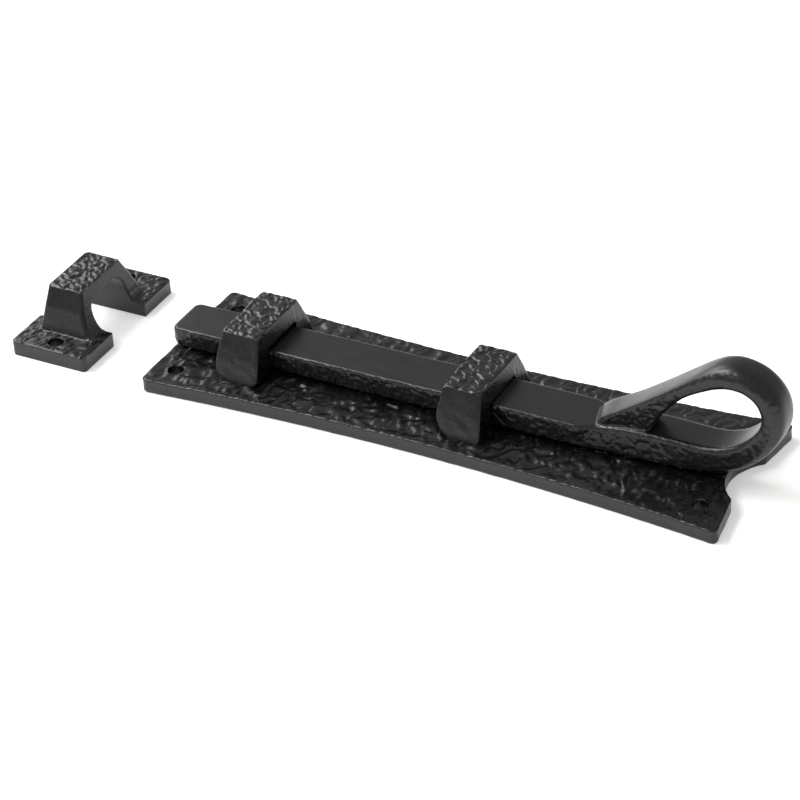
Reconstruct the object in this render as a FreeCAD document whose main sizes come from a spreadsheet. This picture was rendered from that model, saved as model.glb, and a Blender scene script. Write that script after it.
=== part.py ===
"""Surface slide bolt with a loop handle and a separate keep, in cast iron. Millimetres.

Frame: +Z stands out of the door, z = 0 is the face that lies on the door. +X runs along the bolt
towards the loop, and the bolt is thrown along -X. x = 0, y = 0 is the middle of the backplate's
four screw holes.
"""

import FreeCAD, Part
import math
import os

import Sketcher
from FreeCAD import Rotation, Vector

DIMENSIONS = {
    # backplate: straight left end, hollow long sides, scalloped right end
    "plate_left": 99.0,
    "plate_right": 101.0,
    "plate_left_half": 29.1,
    "plate_right_half": 30.8,
    "plate_side_radius": 990.0,
    "plate_thick": 5.0,
    "cusp_x": 98.5,
    "cusp_y": 13.5,
    "scallop_radius": 17.8,
    "plate_corner_radius": 2.0,
    "plate_edge_radius": 0.6,
    "screw_spacing_x": 182.0,
    "screw_spacing_y": 39.5,
    "screw_hole": 5.2,
    # staples that guide the bolt
    "front_staple_x": -69.8,
    "rear_staple_x": 9.0,
    "staple_top_z": 19.9,
    "staple_top_long": 13.2,
    "staple_top_wide": 25.6,
    "staple_foot_long": 16.6,
    "staple_foot_wide": 38.0,
    "staple_edge_radius": 0.9,
    "passage_wide": 17.8,
    "passage_top_z": 13.6,
    # rivets that hold each staple from behind
    "rivet_y": 13.2,
    "rivet_shank": 4.0,
    "rivet_head": 7.6,
    "rivet_head_deep": 1.8,
    "rivet_top_z": 12.0,
    "rivet_gap": 0.05,
    # bolt bar
    "bar_tip": -99.0,
    "bar_wide": 17.0,
    "bar_under_z": 5.8,
    "bar_top_z": 13.0,
    "bar_end": 53.0,
    "tip_radius": 3.0,
    "tip_corner_radius": 2.5,
    "bar_edge_radius": 0.8,
    # loop, drawn round and laid back on the bar
    "loop_wide": 13.4,
    "root_x": 51.0,
    "root_top_z": 16.6,
    "root_radius": 4.5,
    "rise_radius": 200.0,
    "shoulder_angle": 131.0,
    "eye_x": 95.7,
    "eye_z": 29.1,
    "eye_outer_radius": 15.5,
    "eye_inner_radius": 8.1,
    "eye_inner_angle": 105.0,
    "belly_radius": 30.0,
    "strand_top_z": 15.2,
    "strand_radius": 20.0,
    "hole_roof_radius": 26.0,
    "hole_left_x": 70.8,
    "hole_left_z": 17.2,
    "hole_tip_radius": 1.5,
    # friction spring in a pocket under the bar
    "spring_x": 12.0,
    "spring_long": 38.0,
    "spring_wide": 8.0,
    "spring_thick": 0.5,
    "spring_radius": 73.5,
    "spring_gap": 0.3,
    "pocket_long": 40.0,
    "pocket_wide": 9.0,
    "pocket_deep": 2.6,
    # stop pin under the bar and its slot in the plate
    "pin_x": -30.0,
    "pin_diameter": 4.0,
    "pin_foot_z": 3.4,
    "pin_in_bar": 4.5,
    "slot_wide": 5.0,
    "slot_deep": 2.0,
    "throw": 30.0,
    # keep
    "keep_x": -135.6,
    "keep_y": 0.0,
    "keep_long": 28.6,
    "keep_wide": 54.2,
    "keep_foot_thick": 5.5,
    "keep_top_z": 19.8,
    "keep_top_long": 12.7,
    "keep_top_wide": 22.8,
    "keep_leg_long": 17.2,
    "keep_leg_wide": 34.0,
    "mouth_wide": 19.3,
    "mouth_top_z": 15.5,
    "mouth_radius": 5.0,
    "keep_screw_spacing": 44.0,
    "keep_edge_radius": 0.7,
}
STAPLES = {"front": "front_staple_x", "rear": "rear_staple_x"}
SIDES = {"near": "-", "far": "+"}
REACH = "4 * plate_left"
TINY = 1e-4

doc = FreeCAD.newDocument("slide_bolt")
sheet = doc.addObject("Spreadsheet::Sheet", "Dimensions")
for row, (alias, number) in enumerate(DIMENSIONS.items(), start=1):
    sheet.set(f"A{row}", alias)
    sheet.set(f"B{row}", str(number))
    sheet.setAlias(f"B{row}", alias)
doc.recompute()


def bound(expression):
    """The expression with each dimension's name given as the sheet's own cell."""
    words = expression.split()
    return " ".join(f"Dimensions.{w}" if w in DIMENSIONS else w for w in words)


def value(expression):
    """The number that an expression of dimensions comes to."""
    return float(sheet.evalExpression(bound(expression)))


def new_body(label):
    body = doc.addObject("PartDesign::Body", label)
    body.Label = label
    return body


def new_sketch(body, name, plane, height="0"):
    """A sketch on the body's own XY, XZ or YZ plane, raised along the plane's normal."""
    origin_plane = next(f for f in body.Origin.OriginFeatures if f.Role == f"{plane}_Plane")
    sketch = body.newObject("Sketcher::SketchObject", name)
    sketch.AttachmentSupport = [(origin_plane, "")]
    sketch.MapMode = "FlatFace"
    sketch.setExpression("AttachmentOffset.Base.z", bound(height))
    return sketch


def constrain(sketch, expression, *constraint):
    """Adds a constraint whose size is an expression of the sheet's cells."""
    index = sketch.addConstraint(Sketcher.Constraint(*constraint, value(expression)))
    sketch.setExpression(f"Constraints[{index}]", bound(expression))


def pin_point(sketch, geometry, point, x, y):
    constrain(sketch, x, "DistanceX", -1, 1, geometry, point)
    constrain(sketch, y, "DistanceY", -1, 1, geometry, point)


def draw_outline(sketch, corners):
    """Draws a closed outline through corners (x, y). The edge that leaves a corner (x, y, radius)
    is an arc: it bulges to the right of the way it runs, or to the left where the radius has a
    minus sign."""
    points = [Vector(value(c[0]), value(c[1]), 0) for c in corners]
    ends = []
    for i, corner in enumerate(corners):
        start, end = points[i], points[(i + 1) % len(points)]
        if len(corner) == 2:
            geometry = sketch.addGeometry(Part.LineSegment(start, end))
            ends.append((geometry, 1, 2))
            continue
        radius = value(corner[2])
        half = (end - start) * 0.5
        sagitta = abs(radius) - math.sqrt(radius**2 - half.Length**2)
        right = Vector(half.y, -half.x, 0).normalize()
        middle = start + half + right * math.copysign(sagitta, radius)
        geometry = sketch.addGeometry(Part.Arc(start, middle, end))
        forward = (sketch.getPoint(geometry, 1) - start).Length < TINY
        ends.append((geometry, 1, 2) if forward else (geometry, 2, 1))
        constrain(sketch, f"abs( {corner[2]} )", "Radius", geometry)
    for i, corner in enumerate(corners):
        last, here = ends[i - 1], ends[i]
        sketch.addConstraint(Sketcher.Constraint("Coincident", last[0], last[2], here[0], here[1]))
        pin_point(sketch, here[0], here[1], corner[0], corner[1])


def draw_rectangle(sketch, x0, x1, y0, y1):
    draw_outline(sketch, [(x0, y0), (x1, y0), (x1, y1), (x0, y1)])


def draw_circle(sketch, x, y, diameter):
    centre = Vector(value(x), value(y), 0)
    geometry = sketch.addGeometry(Part.Circle(centre, Vector(0, 0, 1), value(diameter) / 2))
    constrain(sketch, diameter, "Diameter", geometry)
    pin_point(sketch, geometry, 3, x, y)


def pad(body, sketch, length, side="One side"):
    feature = body.newObject("PartDesign::Pad", sketch.Name + "_pad")
    feature.Profile = sketch
    feature.SideType = side
    feature.setExpression("Length", bound(length))
    doc.recompute()
    return feature


def cut(body, sketch, length, side="One side", upwards=False):
    """Cuts the sketch out of the body. A sketch that lies below the solid cuts upwards."""
    before = body.Shape.Volume
    feature = body.newObject("PartDesign::Pocket", sketch.Name + "_cut")
    feature.Profile = sketch
    feature.SideType = side
    feature.Reversed = upwards
    feature.setExpression("Length", bound(length))
    doc.recompute()
    if body.Shape.Volume > before - TINY:
        raise RuntimeError(f"{feature.Name} cuts nothing")
    return feature


def tapered_block(body, name, middle, floor, top, foot_size, top_size):
    """A block about middle (x, y), from height floor to top, with a foot and a top (long, wide)
    of their own."""
    block = body.newObject("PartDesign::AdditiveWedge", name)
    block.Placement.Rotation = Rotation(Vector(1, 0, 0), 90)
    sizes = {"Xmax": foot_size[0], "Zmax": foot_size[1], "X2max": top_size[0], "Z2max": top_size[1]}
    for limit, size in sizes.items():
        block.setExpression(limit, bound(f"{size} / 2"))
        block.setExpression(limit.replace("max", "min"), bound(f"- {size} / 2"))
    block.setExpression("Ymin", "0")
    block.setExpression("Ymax", bound(f"{top} - ( {floor} )"))
    for axis, place in zip("xyz", (*middle, floor)):
        block.setExpression(f"Placement.Base.{axis}", bound(place))
    doc.recompute()
    return block


def round_edges(body, chosen, radius):
    """Rounds the edges of the body's last feature for which chosen(edge) is true."""
    base = body.Tip
    names = [f"Edge{n}" for n, e in enumerate(base.Shape.Edges, start=1) if chosen(e)]
    feature = body.newObject("PartDesign::Fillet", f"{body.Name}_{radius}_{len(names)}")
    feature.Base = (base, names)
    feature.setExpression("Radius", bound(radius))
    doc.recompute()
    return feature


def upright(edge):
    box = edge.BoundBox
    return box.XLength < TINY and box.YLength < TINY


def level_at(z):
    """A test for edges that lie flat at height z."""
    return lambda edge: abs(edge.BoundBox.ZMin - z) < TINY and abs(edge.BoundBox.ZMax - z) < TINY


def make_backplate():
    body = new_body("backplate")
    outline = new_sketch(body, "plate_outline", "XY")
    draw_outline(
        outline,
        [
            ("- plate_left", "plate_left_half"),
            ("- plate_left", "- plate_left_half", "- plate_side_radius"),
            ("plate_right", "- plate_right_half"),
            ("cusp_x", "- cusp_y", "- scallop_radius"),
            ("cusp_x", "cusp_y"),
            ("plate_right", "plate_right_half", "- plate_side_radius"),
        ],
    )
    pad(body, outline, "plate_thick")
    corners = value("plate_left_half") - 1
    round_edges(body, lambda e: upright(e) and abs(e.CenterOfMass.y) > corners, "plate_corner_radius")
    round_edges(body, level_at(value("plate_thick")), "plate_edge_radius")

    screws = new_sketch(body, "screw_holes", "XY")
    for x in ("- screw_spacing_x / 2", "screw_spacing_x / 2"):
        for y in ("- screw_spacing_y / 2", "screw_spacing_y / 2"):
            draw_circle(screws, x, y, "screw_hole")
    cut(body, screws, "plate_thick", upwards=True)

    slot = new_sketch(body, "stop_slot", "XY", "plate_thick")
    draw_rectangle(
        slot,
        "pin_x - throw - slot_wide / 2",
        "pin_x + slot_wide / 2",
        "- slot_wide / 2",
        "slot_wide / 2",
    )
    cut(body, slot, "slot_deep")
    for staple in STAPLES.values():
        for sign in SIDES.values():
            cut_rivet_seat(body, staple, f"0 {sign} rivet_y")
    return body


def cut_rivet_seat(body, x, y):
    """A countersunk rivet hole that opens at the plate's back."""
    hole = new_sketch(body, "rivet_hole", "XY")
    draw_circle(hole, x, y, "rivet_shank + 2 * rivet_gap")
    cut(body, hole, "plate_thick", upwards=True)
    sink = body.newObject("PartDesign::SubtractiveCone", "rivet_sink")
    sink.setExpression("Radius1", bound("rivet_head / 2 + rivet_gap"))
    sink.setExpression("Radius2", bound("rivet_shank / 2 + rivet_gap"))
    sink.setExpression("Height", bound("rivet_head_deep"))
    sink.setExpression("Placement.Base.x", bound(x))
    sink.setExpression("Placement.Base.y", bound(y))
    doc.recompute()


def draw_footprint(sketch, x, y, long, wide):
    """A rectangle about (x, y)."""
    draw_rectangle(
        sketch,
        f"{x} - {long} / 2",
        f"{x} + {long} / 2",
        f"{y} - {wide} / 2",
        f"{y} + {wide} / 2",
    )


def make_staple(label, x):
    """A tapered arch that stands on the plate over the bar, with a rivet hole up each leg."""
    body = new_body(label)
    foot = ("staple_foot_long", "staple_foot_wide")
    top = ("staple_top_long", "staple_top_wide")
    tapered_block(body, "arch", (x, "0"), "plate_thick", "staple_top_z", foot, top)
    above_foot = value("plate_thick") + 1
    round_edges(body, lambda e: e.BoundBox.ZMax > above_foot, "staple_edge_radius")

    passage = new_sketch(body, "passage", "YZ")
    half = "passage_wide / 2"
    draw_rectangle(passage, f"- {half}", half, "plate_thick - 1", "passage_top_z")
    cut(body, passage, REACH, side="Symmetric")
    for sign in SIDES.values():
        hole = new_sketch(body, "rivet_hole", "XY", "plate_thick")
        draw_circle(hole, x, f"0 {sign} rivet_y", "rivet_shank + 2 * rivet_gap")
        cut(body, hole, "rivet_top_z + rivet_gap - plate_thick", upwards=True)
    return body


def make_rivet(label, x, y):
    """A countersunk rivet, turned about its own axis."""
    body = new_body(label)
    profile = new_sketch(body, "rivet_profile", "XZ")
    draw_outline(
        profile,
        [
            ("0", "0"),
            ("rivet_head / 2", "0"),
            ("rivet_shank / 2", "rivet_head_deep"),
            ("rivet_shank / 2", "rivet_top_z"),
            ("0", "rivet_top_z"),
        ],
    )
    turned = body.newObject("PartDesign::Revolution", "turned")
    turned.Profile = profile
    turned.ReferenceAxis = (profile, ["V_Axis"])
    turned.Angle = 360
    body.setExpression("Placement.Base.x", bound(x))
    body.setExpression("Placement.Base.y", bound(y))
    doc.recompute()
    return body


def eye_point(radius, angle):
    """A point of a circle about the middle of the loop's eye."""
    x = f"eye_x + {radius} * cos( {angle} * 1 deg )"
    z = f"eye_z + {radius} * sin( {angle} * 1 deg )"
    return x, z


def under_arc(floor, radius, eye_radius):
    """Where an arc of this radius leaves the level line z = floor, and where it runs smoothly
    into the eye's circle: two points (x, z)."""
    rise = f"( eye_z - {floor} - {radius} )"
    apart = f"( {radius} - {eye_radius} )"
    run = f"sqrt( {apart} ^ 2 - {rise} ^ 2 )"
    leaves = (f"eye_x - {run}", floor)
    meets = (f"eye_x + {run} * {eye_radius} / {apart}", f"eye_z + {rise} * {eye_radius} / {apart}")
    return leaves, meets


def make_bolt_bar():
    """The sliding bar and its loop, one casting: the bar's end is drawn round into an eye and
    comes back to lie on the bar."""
    body = new_body("bolt_bar")
    side = new_sketch(body, "bar_side", "XZ")
    draw_outline(
        side,
        [
            ("bar_tip", "bar_under_z + tip_radius", "tip_radius"),
            ("bar_tip + tip_radius", "bar_under_z"),
            ("bar_end", "bar_under_z"),
            ("bar_end", "bar_top_z"),
            ("bar_tip", "bar_top_z"),
        ],
    )
    pad(body, side, "bar_wide", side="Symmetric")
    tip = value("bar_tip")
    at_tip = lambda e: upright(e) and abs(e.CenterOfMass.x - tip) < TINY
    round_edges(body, at_tip, "tip_corner_radius")
    top = value("bar_top_z")
    round_edges(body, lambda e: level_at(top)(e) and e.BoundBox.XMin < 0, "bar_edge_radius")

    outside = new_sketch(body, "loop_outside", "XZ")
    leaves, meets = under_arc("bar_under_z", "belly_radius", "eye_outer_radius")
    draw_outline(
        outside,
        [
            ("root_x - 2", "bar_under_z"),
            (*leaves, "belly_radius"),
            (*meets, "eye_outer_radius"),
            (*eye_point("eye_outer_radius", "shoulder_angle"), "- rise_radius"),
            ("root_x", "root_top_z", "root_radius"),
            ("root_x - 2", "bar_top_z - 1"),
        ],
    )
    pad(body, outside, "loop_wide", side="Symmetric")
    hole = new_sketch(body, "loop_hole", "XZ")
    leaves, meets = under_arc("strand_top_z", "strand_radius", "eye_inner_radius")
    draw_outline(
        hole,
        [
            ("hole_left_x + hole_tip_radius", "strand_top_z"),
            (*leaves, "strand_radius"),
            (*meets, "eye_inner_radius"),
            (*eye_point("eye_inner_radius", "eye_inner_angle"), "hole_roof_radius"),
            ("hole_left_x", "hole_left_z", "hole_tip_radius"),
        ],
    )
    cut(body, hole, "2 * loop_wide", side="Symmetric")

    pocket = new_sketch(body, "spring_pocket", "XY", "bar_under_z")
    draw_footprint(pocket, "spring_x", "0", "pocket_long", "pocket_wide")
    cut(body, pocket, "pocket_deep", upwards=True)
    pin_hole = new_sketch(body, "pin_hole", "XY", "bar_under_z")
    draw_circle(pin_hole, "pin_x", "0", "pin_diameter + 2 * rivet_gap")
    cut(body, pin_hole, "pin_in_bar + rivet_gap", upwards=True)
    return body


def make_spring():
    """A bowed leaf in the pocket under the bar. Its ends bear on the bar, its middle on the
    plate, and it keeps the bar where it is put."""
    body = new_body("friction_spring")
    bow = new_sketch(body, "bow", "XZ")
    half = "spring_long / 2"
    sag = f"spring_radius - sqrt( spring_radius ^ 2 - ( {half} ) ^ 2 )"
    end_z = f"plate_thick + spring_gap + {sag}"
    draw_outline(
        bow,
        [
            (f"spring_x - {half}", end_z, "spring_radius"),
            (f"spring_x + {half}", end_z),
            (f"spring_x + {half}", f"{end_z} + spring_thick", "- spring_radius"),
            (f"spring_x - {half}", f"{end_z} + spring_thick"),
        ],
    )
    pad(body, bow, "spring_wide", side="Symmetric")
    return body


def make_stop_pin():
    """The pin under the bar that meets the ends of the plate's slot."""
    pin = doc.addObject("Part::Cylinder", "stop_pin")
    pin.Label = "stop_pin"
    pin.setExpression("Radius", bound("pin_diameter / 2"))
    pin.setExpression("Height", bound("bar_under_z + pin_in_bar - pin_foot_z"))
    pin.setExpression("Placement.Base.x", bound("pin_x"))
    pin.setExpression("Placement.Base.z", bound("pin_foot_z"))
    doc.recompute()
    return pin


def make_keep():
    """Two feet joined by a tapered bridge, open underneath so that the bolt can enter."""
    body = new_body("keep")
    feet = new_sketch(body, "feet", "XY")
    draw_footprint(feet, "keep_x", "keep_y", "keep_long", "keep_wide")
    pad(body, feet, "keep_foot_thick")
    round_edges(body, upright, "plate_corner_radius")
    round_edges(body, level_at(value("keep_foot_thick")), "keep_edge_radius")

    leg = ("keep_leg_long", "keep_leg_wide")
    top = ("keep_top_long", "keep_top_wide")
    middle = ("keep_x", "keep_y")
    tapered_block(body, "bridge", middle, "keep_foot_thick", "keep_top_z", leg, top)
    above_feet = value("keep_foot_thick") + 2
    round_edges(body, lambda e: e.BoundBox.ZMax > above_feet, "staple_edge_radius")

    mouth = new_sketch(body, "mouth", "YZ")
    left = "keep_y - mouth_wide / 2"
    right = "keep_y + mouth_wide / 2"
    spring_line = "mouth_top_z - mouth_radius"
    draw_outline(
        mouth,
        [
            (left, "- 1"),
            (right, "- 1"),
            (right, spring_line, "mouth_radius"),
            (f"{right} - mouth_radius", "mouth_top_z"),
            (f"{left} + mouth_radius", "mouth_top_z", "mouth_radius"),
            (left, spring_line),
        ],
    )
    cut(body, mouth, REACH, side="Symmetric")
    screws = new_sketch(body, "keep_screw_holes", "XY")
    for sign in SIDES.values():
        draw_circle(screws, "keep_x", f"keep_y {sign} keep_screw_spacing / 2", "screw_hole")
    cut(body, screws, "keep_foot_thick", upwards=True)
    return body


def check_document():
    for item in doc.Objects:
        if {"Invalid", "Error"} & set(item.State):
            raise RuntimeError(f"{item.Name} failed: {item.State}")


def export(parts):
    """Writes each sub-part that is sound to a STEP file with its own name."""
    os.makedirs("parts", exist_ok=True)
    for part in parts:
        shape = part.Shape
        if shape.isNull() or not shape.isValid() or len(shape.Solids) != 1:
            raise RuntimeError(f"{part.Label} is not one sound solid")
        shape.exportStep(f"parts/{part.Label}.step")
        print(f"{part.Label}: {shape.Volume:.0f} mm3")


parts = [make_backplate()]
for staple, x in STAPLES.items():
    parts.append(make_staple(f"{staple}_staple", x))
    for side, sign in SIDES.items():
        parts.append(make_rivet(f"{staple}_rivet_{side}", x, f"0 {sign} rivet_y"))
parts += [make_bolt_bar(), make_spring(), make_stop_pin(), make_keep()]
doc.recompute()
check_document()
export(parts)
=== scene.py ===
import math

import bmesh
import bpy
import numpy as np
from mathutils import Matrix, Vector


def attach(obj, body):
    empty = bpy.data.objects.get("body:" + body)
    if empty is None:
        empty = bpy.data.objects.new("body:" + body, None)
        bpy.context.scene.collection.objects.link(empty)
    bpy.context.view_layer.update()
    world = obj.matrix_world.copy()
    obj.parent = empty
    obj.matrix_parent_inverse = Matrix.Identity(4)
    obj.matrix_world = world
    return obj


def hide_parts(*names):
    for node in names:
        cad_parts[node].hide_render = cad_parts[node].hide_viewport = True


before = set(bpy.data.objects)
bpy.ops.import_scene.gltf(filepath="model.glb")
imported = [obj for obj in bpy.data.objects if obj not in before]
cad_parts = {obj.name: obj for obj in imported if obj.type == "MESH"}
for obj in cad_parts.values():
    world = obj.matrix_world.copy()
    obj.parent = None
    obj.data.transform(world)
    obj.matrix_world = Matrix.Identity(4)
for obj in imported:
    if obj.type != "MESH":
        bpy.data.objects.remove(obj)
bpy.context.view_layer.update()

mm = 0.001  # sizes are in millimetres, save the studio's, which are in metres
lattice = 128  # the noise repeats after this many cells


def tiltNoise(x, y, cell, seed):
    # Smooth noise, about -1 to 1: each corner of a square lattice tilts the ground its own way,
    # and the four tilts round a point are blended across the cell.
    turn = np.random.default_rng(seed).uniform(0, 2 * np.pi, (lattice, lattice))
    u, v = np.asarray(x) / cell + 500, np.asarray(y) / cell + 500
    i, j = np.floor(u).astype(int), np.floor(v).astype(int)
    fu, fv = u - i, v - j
    su, sv = fu * fu * (3 - 2 * fu), fv * fv * (3 - 2 * fv)
    total = 0.0
    for a in (0, 1):
        for b in (0, 1):
            t = turn[(i + a) % lattice, (j + b) % lattice]
            weight = (su if a else 1 - su) * (sv if b else 1 - sv)
            total = total + weight * (np.cos(t) * (fu - a) + np.sin(t) * (fv - b))
    return 1.6 * total


def hammered(x, y, look):
    # Depth of a hammered skin, 0 on the crests and -1 in the pits: a swayed noise drawn out one way,
    # a finer one and a slow swell, squeezed so that crests and pits are broad with short slopes.
    swayX = look["sway"] * tiltNoise(x, y, look["cell"] * 1.9, look["seed"] + 1)
    swayY = look["sway"] * tiltNoise(x, y, look["cell"] * 1.9, look["seed"] + 2)
    c, s = math.cos(math.radians(look["lean"])), math.sin(math.radians(look["lean"]))
    a = c * (x + swayX) + s * (y + swayY)
    b = (-s * (x + swayX) + c * (y + swayY)) / look["drawn"]
    coarse = tiltNoise(a, b, look["cell"], look["seed"])
    fine = tiltNoise(a, b, look["cell"] * 0.45, look["seed"] + 3)
    swell = tiltNoise(x, y, look["cell"] * 3.5, look["seed"] + 4)
    return 0.5 * np.tanh(2.2 * coarse + look["fine"] * fine + 0.7 * swell) - 0.5


def roundRectangle(alongX, alongY, arcSteps):
    # Once round a rectangle with round corners: for each point, where its corner centre lies
    # (-1 to 1 in both directions) and which way its corner radius points.
    quarter = np.linspace(0, np.pi / 2, arcSteps, endpoint=False)
    runX, runY = np.linspace(1, -1, alongX, endpoint=False), np.linspace(-1, 1, alongY, endpoint=False)
    baseX = np.concatenate([np.full(alongY, 1), np.full(arcSteps, 1), runX, np.full(arcSteps, -1),
                            np.full(alongY, -1), np.full(arcSteps, -1), -runX, np.full(arcSteps, 1)])
    baseY = np.concatenate([runY, np.full(arcSteps, 1), np.full(alongX, 1), np.full(arcSteps, 1),
                            -runY, np.full(arcSteps, -1), np.full(alongX, -1), np.full(arcSteps, -1)])
    turn = np.concatenate([np.zeros(alongY), quarter, np.full(alongX, np.pi / 2), quarter + np.pi / 2,
                           np.full(alongY, np.pi), quarter + np.pi, np.full(alongX, 1.5 * np.pi),
                           quarter + 1.5 * np.pi])
    return baseX, baseY, np.cos(turn), np.sin(turn)


def ringStack(halfX, halfY, corner, steps=(20, 36, 6)):
    # One round rectangle for each entry of halfX, halfY and corner; gives x and y as ring by point.
    baseX, baseY, outX, outY = roundRectangle(*steps)
    halfX, halfY = np.asarray(halfX, float)[:, None], np.asarray(halfY, float)[:, None]
    r = np.minimum(np.asarray(corner, float)[:, None], np.minimum(halfX, halfY))
    return baseX * (halfX - r) + outX * r, baseY * (halfY - r) + outY * r


def smoothRun(stations, spacing, soften):
    # A path through the stations, evenly spaced, its corners rounded by averaging along it.
    stations = np.asarray(stations, float)
    reach = np.r_[0, np.cumsum(np.linalg.norm(np.diff(stations, axis=0), axis=1))]
    at = np.linspace(0, reach[-1], max(int(reach[-1] / spacing), 4) + 1)
    run = np.stack([np.interp(at, reach, column) for column in stations.T], 1)
    if soften:
        gap = at[:, None] - at[None, :]
        weight = np.exp(-0.5 * (gap / soften) ** 2)
        mirror = np.exp(-0.5 * ((at[:, None] + at[None, :]) / soften) ** 2)
        tail = np.exp(-0.5 * ((2 * reach[-1] - at[:, None] - at[None, :]) / soften) ** 2)
        total = (weight + mirror + tail).sum(1, keepdims=True)
        run = (weight @ run + mirror @ (2 * run[:1] - run) + tail @ (2 * run[-1:] - run)) / total
    return run


def splineRun(stations, count):
    # A smooth curve through every station (Catmull-Rom), with count points per span.
    p = np.asarray(stations, float)
    p = np.vstack([2 * p[0] - p[1], p, 2 * p[-1] - p[-2]])
    t = np.linspace(0, 1, count, endpoint=False)[:, None]
    spans = [0.5 * (2 * b + (c - a) * t + (2 * a - 5 * b + 4 * c - d) * t ** 2
                    + (3 * b - a - 3 * c + d) * t ** 3)
             for a, b, c, d in zip(p[:-3], p[1:-2], p[2:-1], p[3:])]
    return np.vstack(spans + [p[-2:-1]])


def makePiece(name, points, faces):
    mesh = bpy.data.meshes.new(name)
    mesh.from_pydata((np.asarray(points) * mm).tolist(), [], faces)
    piece = bpy.data.objects.new(name, mesh)
    bpy.context.scene.collection.objects.link(piece)
    return piece


def shell(name, x, y, z):
    # A closed skin over a stack of rings, each array being ring by point; both ends are capped.
    rings, around = x.shape
    index = np.arange(rings * around).reshape(rings, around)
    nextOne = np.roll(index, -1, axis=1)
    sides = np.stack([index[:-1], nextOne[:-1], nextOne[1:], index[1:]], -1).reshape(-1, 4).tolist()
    points = np.stack([x, y, z], -1).reshape(-1, 3)
    piece = makePiece(name, points, sides + [index[0, ::-1].tolist(), index[-1].tolist()])
    turnOutwards(piece)
    return piece


def turnOutwards(piece):
    work = bmesh.new()
    work.from_mesh(piece.data)
    bmesh.ops.remove_doubles(work, verts=work.verts, dist=1e-7)
    bmesh.ops.recalc_face_normals(work, faces=work.faces)
    work.to_mesh(piece.data)
    work.free()


def settle(piece):
    # The piece's modifiers become its mesh.
    depsgraph = bpy.context.evaluated_depsgraph_get()
    old = piece.data
    piece.data = bpy.data.meshes.new_from_object(piece.evaluated_get(depsgraph))
    piece.modifiers.clear()
    piece.data.name = piece.name
    bpy.data.meshes.remove(old)


def carve(piece, cutters):
    for cutter in cutters:
        step = piece.modifiers.new("carve", "BOOLEAN")
        step.operation, step.solver, step.object = "DIFFERENCE", "EXACT", cutter
    settle(piece)
    for cutter in cutters:
        bpy.data.objects.remove(cutter)


def joinTo(piece, other):
    # The other piece's skin is added to this one's, overlaps and all, ready for reskin.
    work = bmesh.new()
    work.from_mesh(piece.data)
    work.from_mesh(other.data)
    work.to_mesh(piece.data)
    work.free()
    bpy.data.objects.remove(other)


def reskin(piece, voxel, passes=2):
    # One even skin over everything that overlaps, as a casting has, then a light smoothing.
    skin = piece.modifiers.new("skin", "REMESH")
    skin.mode, skin.voxel_size = "VOXEL", voxel * mm
    ease = piece.modifiers.new("ease", "SMOOTH")
    ease.factor, ease.iterations = 0.5, passes
    settle(piece)


def readMesh(piece):
    count = len(piece.data.vertices)
    place, facing = np.empty(count * 3), np.empty(count * 3, np.float32)
    piece.data.vertices.foreach_get("co", place)
    piece.data.vertex_normals.foreach_get("vector", facing)
    return place.reshape(-1, 3) / mm, facing.reshape(-1, 3).astype(float)


def writeMesh(piece, place):
    piece.data.vertices.foreach_set("co", (place * mm).ravel())
    piece.data.update()


def ramp(value, low, high):
    t = np.clip((value - low) / (high - low), 0, 1)
    return t * t * (3 - 2 * t)


def shaded(piece, angle):
    piece.data.shade_smooth()
    piece.data.set_sharp_from_angle(angle=math.radians(angle))


def drill(x, y, heights, radii):
    # A round cutter along Z that has these radii at these heights.
    ringX, ringY = ringStack(radii, radii, radii, (1, 1, 14))
    return shell("cutter", ringX + x, ringY + y, np.array(heights)[:, None] + 0 * ringX)


def screwHole(x, y, radius, top):
    # Right through, with a small flare where it leaves the top.
    return drill(x, y, [-1, top - 0.2, top - 0.06, top, top + 2],
                 [radius, radius, radius + 0.07, radius + 0.2, radius + 0.2])


def block(x, y, z, corner, axis):
    # A cutter with round corners along one axis; x, y and z are its low and high ends.
    ends = {"x": (y, z, x), "z": (x, y, z)}[axis]
    (aLow, aHigh), (bLow, bHigh), (low, high) = ends
    a, b = ringStack([(aHigh - aLow) / 2] * 2, [(bHigh - bLow) / 2] * 2, [corner] * 2, (2, 2, 8))
    a, b = a + (aLow + aHigh) / 2, b + (bLow + bHigh) / 2
    along = np.array([low, high])[:, None] + 0 * a
    return shell("cutter", *((along, a, b) if axis == "x" else (a, b, along)))


def tone(code):
    # An sRGB hex colour as linear light.
    parts = [int(code[k:k + 2], 16) / 255 for k in (1, 3, 5)]
    return [c / 12.92 if c <= 0.04045 else ((c + 0.055) / 1.055) ** 2.4 for c in parts] + [1.0]


def addNode(tree, kind, inputs=None, **settings):
    node = tree.nodes.new(kind)
    for name, value in settings.items():
        setattr(node, name, value)
    for name, value in (inputs or {}).items():
        if isinstance(value, bpy.types.NodeSocket):
            tree.links.new(value, node.inputs[name])
        else:
            node.inputs[name].default_value = value
    return node


def newMaterial(name):
    material = bpy.data.materials.new(name)
    material.use_nodes = True
    material.node_tree.nodes.clear()
    return material, material.node_tree


def finishMaterial(tree, shader):
    addNode(tree, "ShaderNodeOutputMaterial", {"Surface": shader.outputs["BSDF"]})


lacquer = {"deep": "#060808", "worn": "#0b0c0c", "rough": (0.2, 0.36), "patch": 7.0, "grain": 0.35,
           "grainDepth": 0.03, "pock": 1.1, "pockDepth": 0.07}


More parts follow.
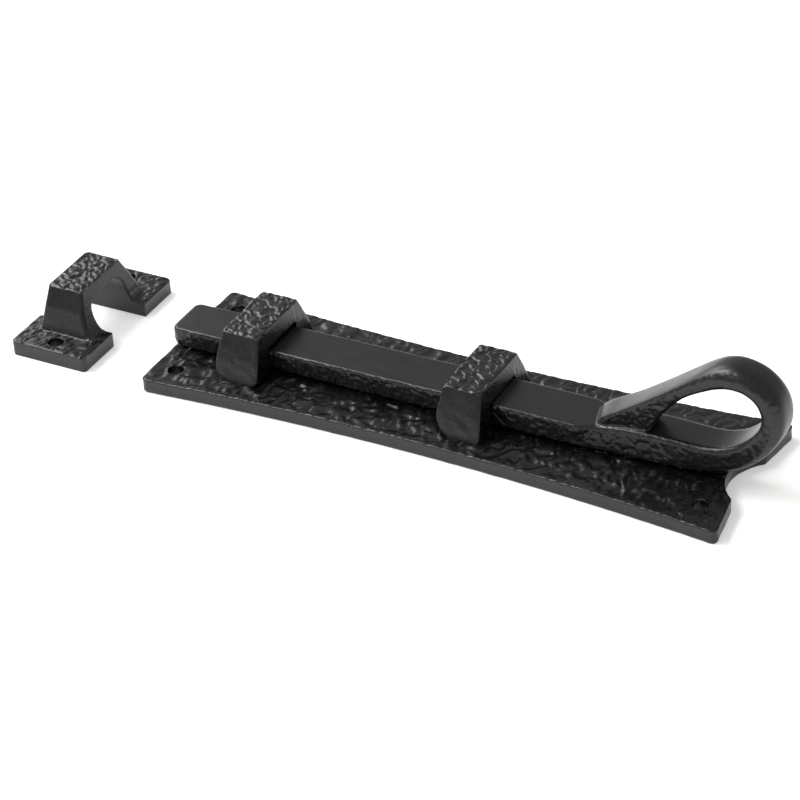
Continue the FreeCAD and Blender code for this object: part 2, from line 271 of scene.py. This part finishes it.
def makeLacquer(name, look, stretch=(1, 1, 1)):
    # Cast iron under black lacquer: a thin, slightly uneven satin coat, blacker and glossier where
    # it lies thick, with the sand-cast grain of the iron telling through it.
    material, tree = newMaterial(name)
    place = addNode(tree, "ShaderNodeTexCoord").outputs["Object"]
    drawn = addNode(tree, "ShaderNodeMapping", {"Vector": place, "Scale": stretch}).outputs["Vector"]
    patch = addNode(tree, "ShaderNodeTexNoise", {"Vector": place, "Scale": 1 / (look["patch"] * mm),
                                                 "Detail": 3.0})
    pock = addNode(tree, "ShaderNodeTexNoise", {"Vector": drawn, "Scale": 1 / (look["pock"] * mm),
                                                "Detail": 3.0, "Roughness": 0.6})
    grain = addNode(tree, "ShaderNodeTexNoise", {"Vector": drawn, "Scale": 1 / (look["grain"] * mm),
                                                 "Detail": 2.0})
    colour = addNode(tree, "ShaderNodeValToRGB", {"Fac": patch.outputs["Fac"]})
    colour.color_ramp.elements[0].position, colour.color_ramp.elements[0].color = 0.35, tone(look["deep"])
    colour.color_ramp.elements[1].position, colour.color_ramp.elements[1].color = 0.7, tone(look["worn"])
    both = addNode(tree, "ShaderNodeMath", {0: patch.outputs["Fac"], 1: pock.outputs["Fac"]}, operation="ADD")
    rough = addNode(tree, "ShaderNodeMapRange", {"Value": both.outputs[0], "From Min": 0.7, "From Max": 1.3,
                                                 "To Min": look["rough"][0], "To Max": look["rough"][1]})
    pocks = addNode(tree, "ShaderNodeBump", {"Height": pock.outputs["Fac"], "Strength": 1.0,
                                             "Distance": look["pockDepth"] * mm})
    grains = addNode(tree, "ShaderNodeBump", {"Height": grain.outputs["Fac"], "Strength": 1.0,
                                              "Distance": look["grainDepth"] * mm,
                                              "Normal": pocks.outputs["Normal"]})
    shader = addNode(tree, "ShaderNodeBsdfPrincipled",
                     {"Base Color": colour.outputs["Color"], "Roughness": rough.outputs["Result"],
                      "IOR": 1.5, "Specular IOR Level": 0.5, "Normal": grains.outputs["Normal"]})
    finishMaterial(tree, shader)
    return material


steel = {"light": "#a3a5a6", "dull": "#6f7173", "rough": (0.25, 0.42), "patch": 3.0, "line": 0.12,
         "lineDepth": 0.01}


def makeSteel(name, look, stretch):
    # Drawn or rolled steel: bright, with fine lines along the way it was drawn and dull patches.
    material, tree = newMaterial(name)
    place = addNode(tree, "ShaderNodeTexCoord").outputs["Object"]
    drawn = addNode(tree, "ShaderNodeMapping", {"Vector": place, "Scale": stretch}).outputs["Vector"]
    patch = addNode(tree, "ShaderNodeTexNoise", {"Vector": place, "Scale": 1 / (look["patch"] * mm)})
    line = addNode(tree, "ShaderNodeTexNoise", {"Vector": drawn, "Scale": 1 / (look["line"] * mm)})
    colour = addNode(tree, "ShaderNodeValToRGB", {"Fac": patch.outputs["Fac"]})
    colour.color_ramp.elements[0].position, colour.color_ramp.elements[0].color = 0.35, tone(look["dull"])
    colour.color_ramp.elements[1].position, colour.color_ramp.elements[1].color = 0.65, tone(look["light"])
    rough = addNode(tree, "ShaderNodeMapRange", {"Value": line.outputs["Fac"], "From Min": 0.35,
                                                 "From Max": 0.65, "To Min": look["rough"][0],
                                                 "To Max": look["rough"][1]})
    lines = addNode(tree, "ShaderNodeBump", {"Height": line.outputs["Fac"], "Strength": 0.6,
                                             "Distance": look["lineDepth"] * mm})
    shader = addNode(tree, "ShaderNodeBsdfPrincipled",
                     {"Base Color": colour.outputs["Color"], "Roughness": rough.outputs["Result"],
                      "Metallic": 1.0, "Normal": lines.outputs["Normal"]})
    finishMaterial(tree, shader)
    return material


hammeredIron = makeLacquer("blackLacqueredCastIron", lacquer)
barIron = makeLacquer("blackLacqueredBarIron", {**lacquer, "pock": 1.8, "pockDepth": 0.03, "grain": 0.25,
                                                "grainDepth": 0.015, "rough": (0.26, 0.36)}, (0.12, 1, 1))
springSteel = makeSteel("rolledSpringSteel", {**steel, "light": "#7d8086", "dull": "#4e525a"}, (0.1, 1, 1))
pinSteel = makeSteel("drawnSteelRod", steel, (1, 1, 0.1))
print("materials ready")


viewpoint = {"azimuth": 29.959, "elevation": 33.763, "roll": -3.547, "distance": 994.5, "right": -69.39,
             "up": 17.55, "originX": -99.0, "lens": 136.8}


def makeCamera(look):
    a, e, k = (math.radians(look[name]) for name in ("azimuth", "elevation", "roll"))
    forward = -np.array([math.sin(a) * math.cos(e), -math.cos(a) * math.cos(e), math.sin(e)])
    level = np.cross(forward, [0, 0, 1])
    level /= np.linalg.norm(level)
    rise = np.cross(level, forward)
    right, up = level * math.cos(k) + rise * math.sin(k), rise * math.cos(k) - level * math.sin(k)
    axes = np.stack([right, up, forward])
    where = -axes.T @ [look["right"], look["up"], look["distance"]] + [look["originX"], 0, 0]
    data = bpy.data.cameras.new("camera")
    data.lens, data.sensor_width, data.clip_start = look["lens"], 36.0, 0.01
    camera = bpy.data.objects.new("camera", data)
    bpy.context.scene.collection.objects.link(camera)
    rows = [[*axes[:, row] * (1, 1, -1), where[row] * mm] for row in range(3)]
    camera.matrix_world = Matrix(rows + [[0, 0, 0, 1]])
    bpy.context.scene.camera = camera


studio = {"world": 0.5, "floor": "#f4f4f2", "size": 4.0, "glow": 0.36,
          "lamps": [  # place and size in metres and power in watts; all are aimed at the object's middle
              {"name": "highLeftBox", "at": (-1.0, -0.1, 1.15), "size": (1.0, 0.8), "power": 20.0},
              {"name": "leftBox", "at": (-1.3, 0.8, 0.75), "size": (0.7, 0.7), "power": 5.0},
              {"name": "frontBox", "at": (-0.45, -0.65, 0.95), "size": (0.5, 0.35), "power": 3.0}]}


def makeStudio(look):
    half = look["size"] / 2
    floor = makePiece("floor", np.array([[-half, -half, 0], [half, -half, 0], [half, half, 0],
                                         [-half, half, 0]]) / mm - [0, 0, 0.05], [[0, 1, 2, 3]])
    material, tree = newMaterial("palePaper")  # matt white paper on a light table, faintly lit from below
    finishMaterial(tree, addNode(tree, "ShaderNodeBsdfPrincipled", {"Base Color": tone(look["floor"]),
                                                                   "Roughness": 0.9,
                                                                   "Specular IOR Level": 0.1,
                                                                   "Emission Color": (1, 1, 1, 1),
                                                                   "Emission Strength": look["glow"]}))
    floor.data.materials.append(material)
    world = bpy.data.worlds.new("softRoom")
    world.use_nodes = True
    tree = world.node_tree
    tree.nodes.clear()
    light = addNode(tree, "ShaderNodeBackground", {"Color": (1, 1, 1, 1), "Strength": look["world"]})
    addNode(tree, "ShaderNodeOutputWorld", {"Surface": light.outputs["Background"]})
    bpy.context.scene.world = world
    for lamp in look["lamps"]:
        data = bpy.data.lights.new(lamp["name"], "AREA")
        data.shape, (data.size, data.size_y), data.energy = "RECTANGLE", lamp["size"], lamp["power"]
        thing = bpy.data.objects.new(lamp["name"], data)
        bpy.context.scene.collection.objects.link(thing)
        aim = np.array([-0.02, 0, 0.01]) - lamp["at"]
        thing.matrix_world = Matrix.Translation(lamp["at"]) @ \
            Vector(aim).to_track_quat("-Z", "Y").to_matrix().to_4x4()
    bpy.context.scene.view_settings.view_transform = "Standard"


makeCamera(viewpoint)
makeStudio(studio)
print("camera, floor and lights ready")


backplate = {"left": -99.0, "right": 101.0, "halfLeft": 29.1, "halfRight": 30.8, "hollow": 5.05,
             "thick": 5.0, "cuspX": 98.5, "cuspY": 13.5, "scallop": 17.8, "corner": 2.0, "edge": 0.5,
             "steps": (370, 112), "depth": 0.64,
             "skin": {"cell": 2.4, "drawn": 1.9, "lean": -8.0, "sway": 1.8, "fine": 1.1, "seed": 11},
             "screws": (91.0, 19.75, 2.6), "slot": ((-62.5, -27.5), (-2.5, 2.5), (3.0, 6.0)),
             "seats": ((-69.8, 9.0), 13.2, 3.85, 2.05, 1.8)}


def plateHalf(x, look):
    # Half the width at x: a straight taper from end to end, less a shallow hollow.
    t = 2 * (x - look["left"]) / (look["right"] - look["left"]) - 1
    mean, lean = (look["halfLeft"] + look["halfRight"]) / 2, (look["halfRight"] - look["halfLeft"]) / 2
    return mean + lean * t - look["hollow"] * (1 - t * t)


def plateEnd(y, look):
    # The right end at y: an arc bitten out of the middle, then straight out from each cusp.
    y = np.abs(y)
    bite = look["cuspX"] + math.sqrt(look["scallop"] ** 2 - look["cuspY"] ** 2) \
        - np.sqrt(np.maximum(look["scallop"] ** 2 - y ** 2, 0))
    out, along = look["right"] - look["cuspX"], look["halfRight"] - look["cuspY"]
    flank = look["cuspX"] + out * (y - look["cuspY"]) / along
    return np.where(y < look["cuspY"], bite, flank)


def makeBackplate(look):
    # The top is a grid stretched to the plate's outline and sunk by the hammered depth. Its border
    # is then carried round the edge and down the wall, and closed underneath.
    edge = look["edge"]
    alongSteps, acrossSteps = look["steps"]
    u, v = np.meshgrid(np.linspace(0, 1, alongSteps + 1), np.linspace(-1, 1, acrossSteps + 1), indexing="ij")
    x = look["left"] + u * (look["right"] - look["left"])
    for _ in range(3):
        y = v * (plateHalf(x, look) - edge)
        low, high = look["left"] + edge, plateEnd(y, look) - edge
        x = low + u * (high - low)
    inX = np.maximum(look["corner"] - np.minimum(x - low, high - x), 0)
    inY = np.maximum(look["corner"] - (plateHalf(x, look) - edge - np.abs(y)), 0)
    pull = 1 - np.maximum(inX, inY) / np.maximum(np.hypot(inX, inY), 1e-9)
    x = x - np.sign(u - 0.5) * inX * pull
    y = y - np.sign(v) * inY * pull
    inside = np.minimum(np.minimum(x - low, high - x), plateHalf(x, look) - edge - np.abs(y))
    z = look["thick"] + look["depth"] * (0.4 + 0.6 * ramp(inside, 0, 3.5)) * hammered(x, y, look["skin"])
    index = np.arange(x.size).reshape(x.shape)
    faces = np.stack([index[:-1, :-1], index[1:, :-1], index[1:, 1:], index[:-1, 1:]], -1).reshape(-1, 4)
    border = np.concatenate([index[:-1, 0], index[-1, :-1], index[:0:-1, -1], index[0, :0:-1]])
    flatX, flatY, flatZ = x.ravel()[border], y.ravel()[border], z.ravel()[border]
    tangentX, tangentY = np.roll(flatX, -1) - np.roll(flatX, 1), np.roll(flatY, -1) - np.roll(flatY, 1)
    size = np.hypot(tangentX, tangentY)
    outX, outY = tangentY / size, -tangentX / size
    run = np.r_[0, np.cumsum(size)[:-1]] / 2
    rows = [np.stack([x.ravel(), y.ravel(), z.ravel()], 1)]
    turn = np.radians([25, 50, 72, 90])
    outBy = [edge * math.sin(t) for t in turn] + [edge] * 5 + [edge - 0.3]
    share = [None] * 4 + [0.8, 0.6, 0.4, 0.2, 0.08, 0.0]
    drops = [edge * (1 - math.cos(t)) for t in turn] + [0] * 6
    for out, part, drop in zip(outBy, share, drops):
        level = flatZ - drop if part is None else part * (flatZ - edge)
        wave = 0.1 * (tiltNoise(run, level * 2, 5.0, 31) - 1) * (0 if part is None else 1)
        rows.append(np.stack([flatX + outX * (out + wave), flatY + outY * (out + wave), level], 1))
    rings = np.vstack([border] + [x.size + k * len(border) + np.arange(len(border))
                                  for k in range(len(outBy))])
    nextOne = np.roll(rings, -1, axis=1)
    wall = np.stack([rings[:-1], rings[1:], nextOne[1:], nextOne[:-1]], -1).reshape(-1, 4)
    allFaces = faces.tolist() + wall.tolist() + [rings[-1, ::-1].tolist()]
    piece = makePiece("backplate_iron", np.vstack(rows), allFaces)
    cornerX, cornerY, radius = look["screws"]
    cutters = [screwHole(sx * cornerX, sy * cornerY, radius, look["thick"] - 0.1)
               for sx in (-1, 1) for sy in (-1, 1)]
    stapleXs, seatY, headRadius, shankRadius, seatDeep = look["seats"]
    cutters += [drill(sx, sy, [-1, 0, seatDeep, look["thick"] + 1],
                      [headRadius, headRadius, shankRadius, shankRadius])
                for sx in stapleXs for sy in (-seatY, seatY)]
    cutters.append(block(*look["slot"], 2.5, "z"))
    carve(piece, cutters)
    shaded(piece, 50)
    return piece


plateIron = makeBackplate(backplate)
print("backplate:", len(plateIron.data.polygons), "faces")


staples = {"footZ": 4.3, "topZ": 19.85, "foot": (8.3, 19.0), "top": (6.6, 12.8), "corner": 0.9,
           "camber": 0.4, "soften": 0.4, "passage": (8.9, 13.6), "tuckZ": 4.7, "voxel": 0.28,
           "depth": 0.5, "sideDepth": 0.09,
           "skin": {"cell": 1.55, "drawn": 1.6, "lean": 72.0, "sway": 1.4, "fine": 0.6}}


def makeStaple(name, middle, tuck, look, seed):
    # A tapered block: round rectangles from the foot up to the top, then drawn in to a spine along
    # the top. tuck is how large a round the near foot's left and right corners have.
    (footX, footY), (topX, topY) = look["foot"], look["top"]
    up = np.linspace(0, 1, 9)
    belly = look["camber"] * np.sin(np.pi * up)
    rise = np.stack([footX + (topX - footX) * up + 0.5 * belly, footY + (topY - footY) * up + belly,
                     look["footZ"] + (look["topZ"] - look["footZ"]) * up], 1)
    run = smoothRun(np.vstack([rise, [0.05, topY - topX, look["topZ"]]]), 0.3, look["soften"])
    run[:, :2] = np.maximum(run[:, :2], 0.04)
    x, y = ringStack(run[:, 0], run[:, 1], np.full(len(run), look["corner"]), (24, 44, 4))
    z = run[:, 2:] + 0 * x
    for side, tuckRadius in zip((-1, 1), tuck):
        low = np.clip(tuckRadius + look["tuckZ"] - z, 0, tuckRadius)
        drawnIn = side * (tuckRadius - np.sqrt(tuckRadius ** 2 - low ** 2)) * np.abs(x) / footX
        x = np.where((x * side > 0) & (y < 0), x - drawnIn, x)
    piece = shell(name, x + middle, y, z)
    halfWide, topOf = look["passage"]
    carve(piece, [block((middle - 12, middle + 12), (-halfWide, halfWide), (-2, topOf), 1.0, "x")])
    reskin(piece, look["voxel"], 1)
    place, facing = readMesh(piece)
    onTop = ramp(facing[:, 2], 0.35, 0.8) * ramp(place[:, 2], 17.5, 18.8)
    dents = hammered(place[:, 0], place[:, 1], {**look["skin"], "seed": seed})
    place[:, 2] += look["depth"] * onTop * dents
    side = 1 - ramp(np.abs(facing[:, 2]), 0.3, 0.7)
    outer = np.abs(place[:, 1]) > halfWide + 0.3
    ripple = 1 + tiltNoise(place[:, 0] + place[:, 1], place[:, 2], 3.2, seed + 7)
    place -= facing * (side * outer * look["sideDepth"] * ripple)[:, None]
    writeMesh(piece, place)
    shaded(piece, 60)
    return piece


frontIron = makeStaple("front_staple_iron", -69.8, (5.0, 1.8), staples, 41)
rearIron = makeStaple("rear_staple_iron", 9.0, (7.5, 0.8), staples, 57)
print("staples:", len(frontIron.data.polygons), len(rearIron.data.polygons), "faces")


bar = {"tip": -99.0, "end": 54.0, "half": 8.5, "underZ": 5.8, "topZ": (12.3, 13.35), "rise": 0.0095,
       "corner": 2.5, "tipRound": 3.0, "edge": 0.95, "neckFrom": 44.0, "neckHalf": 5.6, "voxel": 0.4,
       "roughSide": 0.32,
       "skin": {"cell": 1.5, "drawn": 1.4, "lean": 20.0, "sway": 1.0, "fine": 1.0, "seed": 71}}

# Stations once round the loop: outer x, outer z, inner x, inner z, half width outside and inside,
# corner radius, how far the outside is crowned. The strand leaves the bar, turns round the eye and
# comes back to lie on the bar.
loopStations = [
    (38, 6.1, 38, 11, 7.9, 6, 1.2, 0), (46, 5.9, 46, 12.3, 8, 6.3, 1.2, 0),
    (54, 5.9, 54, 13.8, 8, 6.4, 1, 0), (62, 6, 62, 14.8, 7.9, 6.4, 1, 0),
    (70, 6.1, 70, 15.2, 7.7, 6.4, 1.1, 0), (78, 6.2, 78, 15.2, 7.4, 6.4, 1.3, 0),
    (84.5, 6.4, 85, 15.2, 7, 6.4, 1.6, 0), (90.7, 7.4, 90.4, 15.9, 6.7, 6.4, 1.8, 0),
    (97.8, 10, 95.4, 17.9, 6.5, 6.4, 2, 0), (104, 14.6, 99.6, 21.1, 6.4, 6.4, 2, 0.5),
    (108.8, 20.8, 102.8, 25.2, 6.4, 6.4, 2.4, 1), (110.9, 27, 103.7, 28, 6.4, 6.4, 2.7, 1.6),
    (110.4, 33.6, 103.4, 31.2, 6.4, 6.4, 2.8, 2), (107.4, 39, 101.8, 34.3, 6.4, 6.4, 2.8, 2.2),
    (102.2, 42.9, 99, 36.4, 6.4, 6.4, 2.7, 2.2), (95.7, 44.4, 95.7, 37.2, 6.4, 6.4, 2.5, 2.1),
    (90.2, 43.4, 92.2, 37, 6.4, 6.3, 2.1, 1.7), (84.8, 40.3, 87.4, 35.4, 6.3, 6.2, 1.5, 1.1),
    (77.2, 34.4, 79.4, 30.6, 6.2, 5.9, 1.1, 0.6), (69, 28.2, 73, 23.6, 6.1, 5.4, 1, 0.4),
    (62, 23.2, 67.5, 16, 6, 5, 0.9, 0.3), (56.5, 19.6, 61, 13.4, 5.9, 4.9, 0.9, 0.3),
    (52.6, 17.2, 55, 12.6, 5.7, 5, 1, 0.4), (50.2, 15.2, 51, 12.4, 5.3, 5, 1.2, 0.5),
    (49.3, 13.6, 49.4, 12.4, 4.8, 4.7, 0.6, 0.2),
]


def makeBar(look):
    # Sections across the bar from tip to root: a round rectangle whose top rises slowly, whose tip
    # is rounded below and at its corners, and whose top narrows where the loop begins.
    near = (1 - np.cos(np.linspace(0, np.pi / 2, 9))) * look["tipRound"]
    x = np.r_[look["tip"] + near, np.arange(look["tip"] + look["tipRound"] + 0.8, look["end"], 0.8)]
    back = x - look["tip"]
    fromCorner = np.clip(look["corner"] - back, 0, look["corner"])
    fromTip = np.clip(look["tipRound"] - back, 0, look["tipRound"])
    tuckIn = look["corner"] - np.sqrt(look["corner"] ** 2 - fromCorner ** 2)
    under = look["underZ"] + look["tipRound"] - np.sqrt(look["tipRound"] ** 2 - fromTip ** 2)
    low, high = look["topZ"]
    top = np.minimum(low + look["rise"] * back, high)
    neck = ramp(x, look["neckFrom"], look["end"])
    topHalf = look["half"] - (look["half"] - look["neckHalf"]) * neck - tuckIn
    lowHalf = look["half"] - 0.5 * neck - tuckIn
    a, b = ringStack(np.ones(len(x)) * 10, (top - under) / 2, np.full(len(x), look["edge"]), (30, 14, 4))
    share = (b / ((top - under) / 2)[:, None] + 1) / 2
    half = lowHalf[:, None] + (topHalf - lowHalf)[:, None] * share
    # The outermost millimetre keeps its size, so that the round edges stay round; the rest stretches.
    reach = np.abs(a)
    atEdge = reach > 9
    stretched = reach / 9 * (1 - 1 / half)
    y = np.sign(a) * (half - (10 - reach) * np.where(atEdge, 1, 0)) * np.where(atEdge, 1, stretched)
    z = b + ((top + under) / 2)[:, None]
    return shell("bolt_bar_iron", x[:, None] + 0 * y, y, z)


def makeStrand(stations):
    # Each section spans from the outer curve to the inner one and across the strand.
    run = splineRun(stations, 7)
    outer, inner = run[:, 0:2], run[:, 2:4]
    deep = np.linalg.norm(inner - outer, axis=1)
    a, b = ringStack(np.ones(len(run)) * 6.4, deep / 2, run[:, 6], (14, 10, 7))
    share = b / deep[:, None] + 0.5
    half = run[:, 4:5] + (run[:, 5:6] - run[:, 4:5]) * share
    y = a * half / 6.4
    share = share + run[:, 7:8] / deep[:, None] * np.abs(a / 6.4) ** 3 * (1 - share)
    x = outer[:, :1] + (inner - outer)[:, :1] * share
    z = outer[:, 1:] + (inner - outer)[:, 1:] * share
    x = x - 0.28 * y * ramp(np.arange(len(run))[:, None] / len(run), 0.82, 1.0)  # its end is cut askew
    return shell("strand", x, y, z)


def makeBolt(look):
    piece = makeBar(look)
    joinTo(piece, makeStrand(loopStations))
    reskin(piece, look["voxel"], 3)
    springPocket = block((-8.0, 32.0), (-4.5, 4.5), (2.0, 8.4), 1.0, "z")
    pinHole = drill(-30.0, 0, [2.0, 10.35], [2.05, 2.05])
    carve(piece, [springPocket, pinHole])
    place, facing = readMesh(piece)
    side = ramp(np.abs(facing[:, 1]), 0.45, 0.8)
    onBar = 1 - 0.55 * ramp(place[:, 0], 66, 84)
    pits = -hammered(place[:, 0], place[:, 2] * 1.2, look["skin"])
    place -= facing * (side * onBar * look["roughSide"] * pits)[:, None]
    writeMesh(piece, place)
    shaded(piece, 70)
    return piece


boltIron = makeBolt(bar)
print("bolt bar:", len(boltIron.data.polygons), "faces")


keep = {"x": -135.6, "y": 0.0, "foot": (14.3, 27.1), "footZ": 5.5, "corner": 1.6, "leg": (8.6, 17.0),
        "top": (6.35, 11.4), "topZ": 19.75, "lean": -1.5, "soften": 0.4, "mouth": (9.65, 15.5, 5.0),
        "screwY": 22.0, "screw": 2.6, "voxel": 0.3, "depth": 0.54, "footDepth": 0.4,
        "skin": {"cell": 1.55, "drawn": 1.5, "lean": 65.0, "sway": 1.4, "fine": 0.6, "seed": 91},
        "footSkin": {"cell": 1.9, "drawn": 1.9, "lean": -30.0, "sway": 1.4, "fine": 0.8, "seed": 97}}


def makeKeep(look):
    # Round rectangles carried up the foot's wall, in across its top, through the fillet, up the
    # tapered bridge and in to a spine along its top. The mouth and screw holes are cut after.
    (footX, footY), (legX, legY), (topX, topY) = look["foot"], look["leg"], look["top"]
    footZ, topZ = look["footZ"], look["topZ"]
    stations = [(footX, footY, 0), (footX, footY, footZ), (legX + 3.6, legY + 0.3, footZ),
                (legX + 1.6, legY - 0.1, footZ + 0.4), (legX + 0.6, legY - 0.4, footZ + 1.4),
                (legX - 0.2, legY - 1.0, footZ + 3.4),
                ((legX + topX) / 2, (legY + topY) / 2 + 0.3, (footZ + topZ) / 2 + 0.6),
                (topX, topY, topZ), (0.05, topY - topX, topZ)]
    run = smoothRun(stations, 0.3, look["soften"])
    run[:, :2] = np.maximum(run[:, :2], 0.04)
    corner = np.where(run[:, 2] > footZ + 0.1, 0.9, look["corner"])
    x, y = ringStack(run[:, 0], run[:, 1], corner, (30, 54, 5))
    z = run[:, 2:] + 0 * x
    nearFoot = ramp(z, footZ - 0.2, footZ + 0.3) * (1 - ramp(z, footZ + 1.5, footZ + 5))
    spare = nearFoot * (1 - (legX + 0.3) / np.maximum(run[:, :1], legX + 0.3))
    x = x * (1 - spare * np.where(x < 0, 1.0, np.where(y > 0, 0.6, 0.0)))  # only the near right fillet is full
    x = x + look["lean"] * np.clip((z - footZ) / (topZ - footZ), 0, 1)
    piece = shell("keep_iron", x + look["x"], y + look["y"], z)
    half, mouthTop, mouthCorner = look["mouth"]
    cutters = [block((look["x"] - 20, look["x"] + 20), (look["y"] - half, look["y"] + half),
                     (-8, mouthTop), mouthCorner, "x")]
    cutters += [screwHole(look["x"], look["y"] + side * look["screwY"], look["screw"], footZ - 0.1)
                for side in (-1, 1)]
    carve(piece, cutters)
    reskin(piece, look["voxel"], 2)
    place, facing = readMesh(piece)
    upward = ramp(facing[:, 2], 0.4, 0.85)
    high = ramp(place[:, 2], 17.5, 18.8)
    low = 1 - ramp(place[:, 2], 5.9, 7.5)
    place[:, 2] += upward * (look["depth"] * high * hammered(place[:, 0], place[:, 1], look["skin"])
                             + look["footDepth"] * low * hammered(place[:, 0], place[:, 1], look["footSkin"]))
    writeMesh(piece, place)
    shaded(piece, 60)
    return piece


keepIron = makeKeep(keep)
print("keep:", len(keepIron.data.polygons), "faces")


pieces = [(plateIron, "backplate", "plate", hammeredIron, "hammered_iron"),
          (frontIron, "front_staple", "plate", hammeredIron, "hammered_iron"),
          (rearIron, "rear_staple", "plate", hammeredIron, "hammered_iron"),
          (boltIron, "bolt_bar", "bolt", barIron, "bar_iron"),
          (keepIron, "keep", "keep", hammeredIron, "hammered_iron")]
for piece, node, body, material, slot in pieces:
    piece.data.materials.clear()
    piece.data.materials.append(material)
    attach(piece, body)
    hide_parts(node)
for node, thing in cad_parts.items():
    if node == "friction_spring" or node == "stop_pin" or "rivet" in node:
        thing.material_slots[0].material = springSteel if node == "friction_spring" else pinSteel
print("finishes given")
